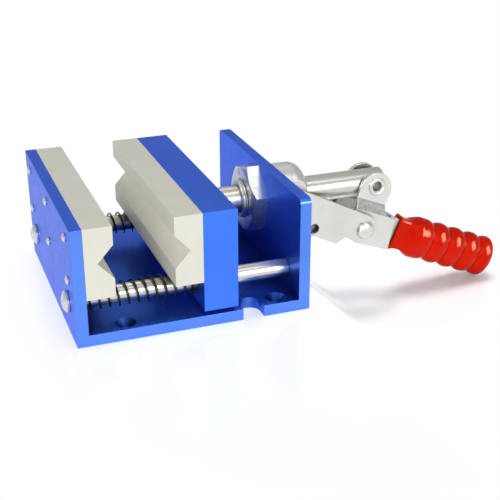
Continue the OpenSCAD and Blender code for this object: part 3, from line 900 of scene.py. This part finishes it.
def barrel_piece():
    """Barrel with its plain shank end turned down to the root of the thread."""
    end_length, bore_clear, root = 2 * MM, 9 * MM, 10.3 * MM
    mesh = merged_copy("clamp_barrel", "barrel")
    for v in mesh.vertices:
        off = Vector((v.co.y, v.co.z - AXIS_Z))
        if v.co.x < SHANK_END + end_length and off.length > bore_clear:
            off *= min(1.0, root / off.length)
            v.co.y, v.co.z = off.x, off.y + AXIS_Z
    obj = new_object("barrel", mesh)
    eased(obj, 0.3 * MM, angle=40)
    return stands_for(obj, "frame", "pressed_steel", SATIN, "clamp_barrel")


def thread_piece():
    """The thread between the shank's end and the nut, which it enters a little way."""
    start, end = SHANK_END + 0.3 * MM, NUT_FACE + 1.3 * MM
    length = end - start
    obj = grown(
        "barrel_thread",
        THREAD,
        TURNED,
        {"Crest": 11.0 * MM, "Depth": 0.8 * MM, "Pitch": 1.75 * MM, "Length": length},
    )
    with edited(obj.data) as bm:
        caps = [f for f in bm.faces if len(f.verts) > 4]
        bmesh.ops.delete(bm, geom=caps, context="FACES")
    obj.data.transform(Matrix.Translation(((start + end) / 2, 0, AXIS_Z)))
    smooth(obj.data, 50)
    return stands_for(obj, "frame", "plated_steel", None)


barrel_piece()
thread_piece()
dressed("mounting_nut", "large_nut", "frame", "pressed_steel", TURNED, 0.35 * MM, 3)
dressed("trunnion_pins", "trunnions", "frame", "plated_steel", TURNED, 0.25 * MM)
dressed("plunger", "plunger_bar", "carriage", "chromed_steel", GROUND, 0.25 * MM)
dressed("plunger_stud", "stud", "carriage", "plated_steel", TURNED, 0.3 * MM)
dressed("jam_nut", "stud_nut", "carriage", "plated_steel", TURNED, 0.35 * MM, 3)


# Handle and links

plates = dressed(
    "handle_frame", "handle_plates", "handle", "pressed_steel", SATIN, 0.55 * MM, 3
)
# The slanted band of the plates takes the darker steel: painted shade
plates.data.materials.append(SLANT_SHADE)
for face in broad_faces(plates.data, SLANTED):
    face.material_index = 1
rear_link, front_link = (
    dressed(f"link_{side}", f"link_plate_{side}", "links", "pressed_steel", SATIN, 0.5 * MM, 3)
    for side in ("rear", "front")
)


def rivet_pair(name, body, node, profile, at, spread):
    """A turned rivet head at the front and its twin at the rear, its profile in millimetres."""
    mesh = lathe(name, [(r * MM, z * MM) for r, z in profile], 64)
    mesh.transform(Matrix.Rotation(math.radians(-90), 4, "X"))
    tidy_normals(mesh)
    obj = grown(name, PAIR, TURNED, {"Spread": spread}, mesh)
    obj.data.transform(Matrix.Translation(at))
    smooth(obj.data, 40)
    return stands_for(obj, body, "plated_steel", None, node)


# Half of the hollow rivet, from the plunger's middle to its rolled rim
ROLLED_IN = arc(4.4, 9.6, 1.8, 1.8, 180, 90, 5)
ROLLED_OUT = arc(4.4, 10.8, 0.8, 0.6, 90, 0, 3)
rivet_pair(
    "hollow_rivet",
    "handle",
    "ear_rivet",
    [(2.6, 0), *ROLLED_IN, *ROLLED_OUT[1:], (5.15, 10.5), (3.5, 10.5), (3.5, 0), (2.6, 0)],
    EAR_PIN,
    spread=0.0,
)
DOME = arc(0, 0.55, 5.3, 2.35, 90, 0, 10)
rivet_pair(
    "dome_rivets",
    "links",
    "link_rivets",
    [*DOME, (5.25, 0.3), (4.9, 0.02), (3.5, 0.02), (3.5, -2.8), (0, -2.8)],
    LINK_PIN,
    spread=16.05 * MM,
)


# Grip

LIP_FLARE = 1.1 * MM
MOUTH_HEIGHT = 9.7 * MM
MOUTH_WIDTH = 4.6 * MM
GRIP_LENGTH = 74.0 * MM
GRIP_START = Vector((29.0, 0, 0.2)) * MM


def grip_tree():
    """A dipped grip along +X: flat sleeve, finger swells and a round tip, with an open mouth."""
    rows, sides, gather, tip_share = 281, 113, 1.35, 0.99995
    oval_power, oblong_power, seam_turn = 2.05, 6.0, 1 / 8
    g = Growth(
        "grip",
        Length="Float",
        Sleeve="Float",
        Rise_End="Float",
        First_Crest="Float",
        Swells="Float",
        Swell_Height="Float",
        Swell_Width="Float",
        Valley="Float",
        Lip_Flare="Float",
        Lip_Length="Float",
        Mouth_Height="Float",
        Mouth_Width="Float",
        Tip="Float",
    )
    s = g.source
    grid = g.add(
        "GeometryNodeMeshGrid",
        {"Size X": 1.0, "Size Y": 1.0, "Vertices X": rows, "Vertices Y": sides},
    )
    x, y, _ = g.position()
    share = g.calc("ADD", x, 0.5)
    # The rows draw together towards the tip
    near = g.calc("SUBTRACT", 1, g.calc("POWER", g.calc("SUBTRACT", 1, share), gather))
    along = g.calc("MULTIPLY", g.calc("MINIMUM", near, tip_share), s["Length"])
    # The seam lies at a corner of the sleeve, where its two edges meet exactly
    angle = g.calc("MULTIPLY", g.calc("ADD", y, seam_turn), 2 * math.pi)
    # Each swell is an arc from valley to valley
    last = g.calc("SUBTRACT", s["Length"], s["Tip"])
    crests = g.calc("SUBTRACT", last, s["First_Crest"])
    pitch = g.calc("DIVIDE", crests, g.calc("SUBTRACT", s["Swells"], 1))
    half_pitch = g.calc("MULTIPLY", pitch, 0.5)
    past = g.limit(g.calc("SUBTRACT", along, s["First_Crest"]), 0, crests)
    off = g.calc("PINGPONG", past, half_pitch)
    square = g.calc("ADD", g.calc("POWER", half_pitch, 2), g.calc("POWER", s["Valley"], 2))
    arc_r = g.calc("DIVIDE", square, g.calc("MULTIPLY", s["Valley"], 2))
    height = g.calc("SUBTRACT", g.calc("POWER", arc_r, 2), g.calc("POWER", off, 2))
    fall = g.calc("SUBTRACT", arc_r, g.calc("SQRT", height))
    # The lip flares at the mouth, and the sleeve rises to the first swell
    lip_part = g.limit(g.calc("SUBTRACT", 1, g.calc("DIVIDE", along, s["Lip_Length"])), 0, 1)
    lip = g.calc("MULTIPLY", s["Lip_Flare"], g.calc("POWER", lip_part, 2))
    rise = g.calc("SUBTRACT", s["Rise_End"], s["Sleeve"])
    risen = g.limit(g.calc("DIVIDE", g.calc("SUBTRACT", along, s["Sleeve"]), rise), 0, 1)
    ease = g.calc(
        "MULTIPLY",
        g.calc("MULTIPLY", risen, risen),
        g.calc("SUBTRACT", 3, g.calc("MULTIPLY", risen, 2)),
    )
    tip_part = g.limit(g.calc("DIVIDE", g.calc("SUBTRACT", along, last), s["Tip"]), 0, 1)
    tip = g.calc("SQRT", g.calc("SUBTRACT", 1, g.calc("MULTIPLY", tip_part, tip_part)))
    # The section goes from a rounded oblong to an oval
    oblong = g.calc("POWER", g.calc("SUBTRACT", 1, ease), 2)
    more = g.calc("MULTIPLY", oblong, oblong_power - oval_power)
    power = g.calc("ADD", oval_power, more)
    bend = g.calc("DIVIDE", 2, power)
    halves = []
    for mouth, swelled in (("Mouth_Width", "Swell_Width"), ("Mouth_Height", "Swell_Height")):
        gain = g.calc("MULTIPLY", g.calc("SUBTRACT", s[swelled], s[mouth]), ease)
        half = g.calc("SUBTRACT", g.calc("ADD", s[mouth], gain), fall)
        halves.append(g.calc("MULTIPLY", half, tip))
    halves[1] = g.calc("ADD", halves[1], lip)
    sections = []
    for half, wave_of in zip(halves, ("COSINE", "SINE")):
        turn = g.calc(wave_of, angle)
        shape = g.calc("POWER", g.calc("ABSOLUTE", turn), bend)
        signed = g.calc("MULTIPLY", g.calc("SIGN", turn), shape)
        sections.append(g.calc("MULTIPLY", signed, half))
    return g.finish(g.moved(grid.outputs[0], along, *sections))


def turned_in_lip(bm, rim):
    """Turns the mouth's lip in to a shallow floor round the tang."""
    thick_w, thick_h = 1.7 * MM, 1.9 * MM
    mouth_w, mouth_h = MOUTH_WIDTH, MOUTH_HEIGHT + LIP_FLARE
    was_w, was_h = mouth_w, mouth_h
    for inward, depth in ((0.12, -0.25), (0.5, -0.4), (0.88, -0.25), (1.0, 0.1), (1.0, 2.0)):
        turned = bmesh.ops.extrude_edge_only(bm, edges=rim)["geom"]
        rim = [e for e in turned if isinstance(e, bmesh.types.BMEdge)]
        now_w, now_h = mouth_w - thick_w * inward, mouth_h - thick_h * inward
        for v in {v for e in rim for v in e.verts}:
            v.co = (depth * MM, v.co.y * now_w / was_w, v.co.z * now_h / was_h)
        was_w, was_h = now_w, now_h
    bmesh.ops.holes_fill(bm, edges=rim, sides=0)


def grip_piece():
    """The red grip on the handle's tang, closed at its tip and mouth."""
    obj = grown(
        "grip",
        grip_tree(),
        VINYL,
        {
            "Length": GRIP_LENGTH,
            "Sleeve": 6.5 * MM,
            "Rise_End": 15.5 * MM,
            "First_Crest": 19.5 * MM,
            "Swells": 5.0,
            "Swell_Height": 12.9 * MM,
            "Swell_Width": 9.6 * MM,
            "Valley": 2.2 * MM,
            "Lip_Flare": LIP_FLARE,
            "Lip_Length": 4.0 * MM,
            "Mouth_Height": MOUTH_HEIGHT,
            "Mouth_Width": MOUTH_WIDTH,
            "Tip": 6.5 * MM,
        },
    )
    with edited(obj.data) as bm:
        bmesh.ops.remove_doubles(bm, verts=bm.verts, dist=2e-6)
        open_edges = [e for e in bm.edges if e.is_boundary]
        rim = [e for e in open_edges if e.verts[0].co.x < GRIP_LENGTH / 2]
        tip = [e for e in open_edges if e.verts[0].co.x > GRIP_LENGTH / 2]
        bmesh.ops.holes_fill(bm, edges=tip, sides=0)
        turned_in_lip(bm, rim)
        bmesh.ops.recalc_face_normals(bm, faces=bm.faces)
    turn = Matrix.Rotation(HANDLE_TURN, 4, "Y")
    obj.data.transform(Matrix.Translation(LINK_PIN) @ turn @ Matrix.Translation(GRIP_START))
    smooth(obj.data, 60)
    return stands_for(obj, "handle", "red_vinyl", None, "handle_grip")


grip = grip_piece()


# Stage, camera and light

WHITE = (1, 1, 1, 1)


def paper_sheet():
    """A floor that is level under the channel and eases down under the handle."""
    far, near, clear = 2.5, 0.6, 0.1 * MM
    slope_start, slope_end = 65 * MM, 112 * MM
    fine_start, fine_end, steps = 62 * MM, 160 * MM, 39
    fine = [fine_start + (fine_end - fine_start) * k / steps for k in range(steps + 1)]
    ys = (-far, -near, near, far)
    drop = cad_low.z - 2 * clear
    mesh = bpy.data.meshes.new("floor")
    with edited(mesh) as bm:
        rows = []
        for x in (-far, -near, *fine, near, far):
            t = min(1.0, max(0.0, (x - slope_start) / (slope_end - slope_start)))
            z = drop * t * t * (3 - 2 * t) - clear
            rows.append([bm.verts.new((x, y, z)) for y in ys])
        for a, b in zip(rows, rows[1:]):
            for k in range(len(ys) - 1):
                bm.faces.new((a[k], b[k], b[k + 1], a[k + 1]))
    smooth(mesh, 60)
    return mesh


def pale_paper():
    """Pale paper with a soft gloss where it is level and a painted shadow close to the clamp,
    white to the camera away from the clamp.
    """
    white_from, white_to = 160 * MM, 225 * MM
    white_beside, white_before = (66 * MM, 85 * MM), (-72 * MM, -42 * MM)
    m = Shades("pale_paper")
    m.set(
        # Painted shadow: the paper darkens close to the clamp
        Base_Color=m.with_painted_shade((0.9, 0.9, 0.9), reach=24 * MM, least=0.75, start=0.45, end=0.85),
        Roughness=0.15,
        Specular_IOR_Level=m.span(m.parts(m.facing)["Z"], 0.0, 0.7, 0.96, 0.999),
    )
    path = m.add("ShaderNodeLightPath").outputs
    seen = m.calc("MAXIMUM", path["Is Camera Ray"], path["Is Glossy Ray"])
    lift = m.add("ShaderNodeEmission", {"Color": WHITE, "Strength": 0.24})
    lifted = m.add("ShaderNodeMixShader", {0: seen, 2: lift.outputs[0]})
    near = m.add("ShaderNodeAddShader", {0: m.shader.outputs[0], 1: lifted.outputs[0]})
    around = m.add(
        "ShaderNodeMapping",
        {"Vector": m.place, "Location": (-0.0975, 0.02, 0), "Scale": (1.3, 1, 1)},
    )
    away = m.add("ShaderNodeVectorMath", {0: around.outputs[0]}, operation="LENGTH")
    far = m.add(
        "ShaderNodeMapRange",
        {"Value": away.outputs["Value"], "From Min": white_from, "From Max": white_to},
        interpolation_type="SMOOTHSTEP",
    )
    # The slope in front of the handle is white too
    x, y, _ = m.parts(m.place)
    beside = m.span(x, 0, 1, *white_beside)
    before = m.span(y, 1, 0, *white_before)
    bright = m.calc("MAXIMUM", far.outputs["Result"], m.calc("MULTIPLY", beside, before))
    level = m.span(path["Is Camera Ray"], 0.9, 1.0, 0, 1)
    white = m.add("ShaderNodeEmission", {"Color": WHITE, "Strength": level})
    shown = m.add(
        "ShaderNodeMixShader",
        {0: m.calc("MULTIPLY", bright, seen), 1: near.outputs[0], 2: white.outputs[0]},
    )
    m.put(m.tree.nodes["Material Output"].inputs["Surface"], shown.outputs[0])
    return m.material


def floor():
    """The paper as a stage piece."""
    obj = new_object("floor", paper_sheet())
    obj.data.materials.append(pale_paper())
    return obj


def world():
    """White to the camera; paler below and greyer above to gloss; a plain level to the rest."""
    made = bpy.data.worlds.new("studio")
    scene.world = made
    made.use_nodes = True
    w = Wiring(made.node_tree)
    path = w.add("ShaderNodeLightPath").outputs
    height = w.parts(w.add("ShaderNodeTexCoord").outputs["Generated"])["Z"]
    greys = ((0.0, 0.75), (0.06, 0.65), (0.22, 0.48), (0.6, 0.46), (1.0, 0.55))
    glossy = w.ramp(height, *((position, (grey, grey, grey)) for position, grey in greys))
    unseen = w.add(
        "ShaderNodeMix",
        {"Factor": path["Is Glossy Ray"], "A": (0.27, 0.27, 0.28, 1), "B": glossy},
        data_type="RGBA",
    )
    seen = w.calc("MAXIMUM", path["Is Camera Ray"], path["Is Transmission Ray"])
    shown = w.add(
        "ShaderNodeMix",
        {"Factor": seen, "A": unseen.outputs["Result"], "B": WHITE},
        data_type="RGBA",
    )
    w.put(w.tree.nodes["Background"].inputs["Color"], shown.outputs["Result"])


def camera():
    """The photo's own view, found from its straight edges."""
    place = (-0.1339, -0.5021, 0.2475)
    turn, down, roll = (math.radians(a) for a in (20.29, 24.05, -0.09))
    data = bpy.data.cameras.new("camera")
    data.sensor_fit = "HORIZONTAL"
    data.sensor_width = 36
    data.lens = 73.58
    data.clip_start, data.clip_end = 0.01, 20
    obj = new_object("camera", data)
    ahead = Vector(
        (math.sin(turn) * math.cos(down), math.cos(turn) * math.cos(down), -math.sin(down))
    )
    facing = ahead.to_track_quat("-Z", "Y").to_matrix().to_4x4()
    obj.matrix_world = Matrix.Translation(place) @ facing @ Matrix.Rotation(roll, 4, "Z")
    scene.camera = obj


def lamp(name, place, aim, size, power):
    """A soft box that looks from its place to its aim."""
    light = bpy.data.lights.new(name, "AREA")
    light.shape = "RECTANGLE"
    light.size, light.size_y = size
    light.energy = power
    obj = new_object(name, light)
    obj.location = place
    obj.rotation_mode = "QUATERNION"
    obj.rotation_quaternion = (Vector(aim) - Vector(place)).to_track_quat("-Z", "Y")
    return obj


def group(name, pieces):
    """A collection for a lamp's own choice of pieces."""
    made = bpy.data.collections.new(name)
    for piece in pieces:
        made.objects.link(piece)
    return made


paper = floor()
world()
camera()
clamp = group(
    "clamp", [p for p in scene.objects if p.type == "MESH" and p not in (paper, grip)]
)
for box in (
    lamp("front_box", place=(-0.7, -1.15, 0.36), aim=(0, 0, 0.03), size=(0.9, 0.6), power=7.4),
    lamp("right_box", place=(0.44, -1.15, 0.5), aim=(0.05, 0, 0.03), size=(0.4, 0.5), power=6.4),
    lamp("left_box", place=(-0.95, 0, 0.95), aim=(0, 0, 0.03), size=(0.5, 0.5), power=5),
    lamp("top_box", place=(0.45, -0.4, 1.25), aim=(0.05, 0, 0.03), size=(0.4, 0.4), power=0.9),
    lamp("back_box", place=(0.2, 0.62, 1.0), aim=(0.1, 0, 0), size=(0.35, 0.35), power=0.7),
):
    box.light_linking.receiver_collection = clamp
# The floor has a lamp of its own, which draws a streak of shadow under the lever
floor_lamp = lamp(
    "floor_lamp", place=(0.3, 0.25, 1.15), aim=(0.1, 0, 0), size=(0.5, 0.5), power=10.6
)
lever = group("lever", [plates, rear_link, front_link, grip])
floor_lamp.light_linking.receiver_collection = group("stage", [paper])
floor_lamp.light_linking.blocker_collection = lever
# The glossy grip has soft light without glare and one card for its highlights
fill = lamp(
    "grip_fill", place=(-0.3, -1.25, 0.75), aim=(0.15, 0, 0), size=(0.8, 0.8), power=17
)
fill.visible_glossy = False
card = lamp(
    "grip_card", place=(0.55, -0.5, 0.21), aim=(0.15, 0, 0), size=(0.32, 0.44), power=15
)
card.visible_diffuse = False
for box in (fill, card):
    box.light_linking.receiver_collection = group(box.name, [grip])
scene.view_settings.view_transform = "Standard"
